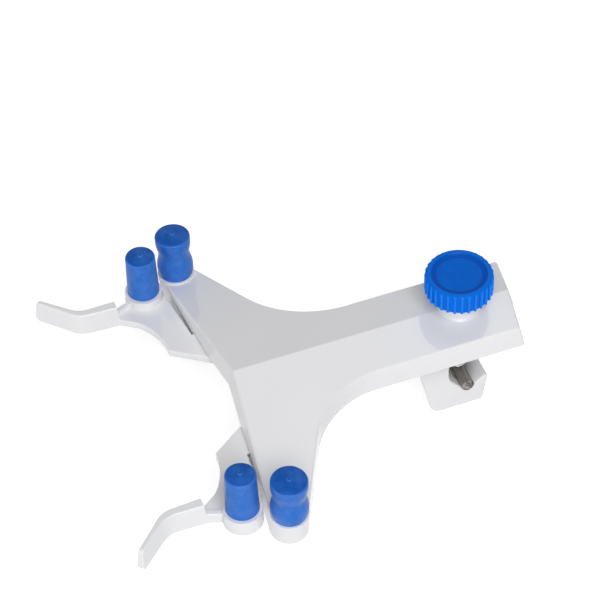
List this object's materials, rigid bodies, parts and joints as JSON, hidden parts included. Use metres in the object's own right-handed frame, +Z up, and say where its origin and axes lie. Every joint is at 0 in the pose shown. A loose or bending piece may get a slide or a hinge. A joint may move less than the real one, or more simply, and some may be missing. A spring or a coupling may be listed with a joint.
{
  "type": "burette clamp",
  "caption": "Single burette clamp: cast body with hook and thumb screw for a stand rod, waisted fixed grips and spring-closed lever jaws with squeeze tabs.",
  "frame": {"origin": "on the ridge of the casting, where the clamp screw axis crosses it", "axes": "+X along the stem to its free end, +Y to the upper pair of jaws, +Z up through the knob; the stand rod and the burette lie along Y in use"},
  "size_m": [0.1712, 0.1402, 0.0619],
  "materials": {
    "white_body": "glossy white stove enamel",
    "white_lever": "glossy white stove enamel",
    "blue_grip": "soft semi-gloss moulding",
    "blue_knob": "moulded, semi-gloss",
    "steel": "turned, zinc plated",
    "spring_steel": "drawn wire",
    "brass_bush": "turned"
  },
  "bodies": {
    "clamp_body": {"body_casting": "white_body", "upper_fixed_grip": "blue_grip", "upper_fixed_pin": "steel", "upper_pivot_screw": "steel", "upper_pivot_washer": "steel", "upper_return_spring": "spring_steel", "lower_fixed_grip": "blue_grip", "lower_fixed_pin": "steel", "lower_pivot_screw": "steel", "lower_pivot_washer": "steel", "lower_return_spring": "spring_steel"},
    "upper_jaw": {"upper_lever": "white_lever", "upper_jaw_grip": "blue_grip", "upper_jaw_pin": "steel", "upper_pivot_bush": "brass_bush"},
    "lower_jaw": {"lower_lever": "white_lever", "lower_jaw_grip": "blue_grip", "lower_jaw_pin": "steel", "lower_pivot_bush": "brass_bush"},
    "bar": {"pressure_bar": "steel"},
    "knob": {"clamp_knob": "blue_knob", "clamp_screw": "steel"}
  },
  "joints": [
    {"name": "upper_jaw_swing", "type": "hinge", "parent": "clamp_body", "child": "upper_jaw", "pos_m": [-0.0815, 0.0195, -0.0112], "axis": [0, 0, 1], "range_deg": [0, 25], "stiffness_Nm_per_rad": 0.05, "springref_deg": -68.75, "deforming": ["upper_return_spring"]},
    {"name": "lower_jaw_swing", "type": "hinge", "parent": "clamp_body", "child": "lower_jaw", "pos_m": [-0.0815, -0.0195, -0.0112], "axis": [0, 0, -1], "range_deg": [0, 25], "stiffness_Nm_per_rad": 0.05, "springref_deg": -68.75, "deforming": ["lower_return_spring"]},
    {"name": "bar_advance", "type": "slide", "parent": "clamp_body", "child": "bar", "axis": [0, 0, 1], "range_m": [0, 0.018]},
    {"name": "knob_turn", "type": "hinge", "parent": "bar", "child": "knob", "pos_m": [0, 0, 0.012], "axis": [0, 0, 1], "range_deg": [0, 5184]}
  ],
  "couplings": [
    {"joint": "knob_turn", "follows": "bar_advance", "rad_per_m": 5026.5}
  ]
}
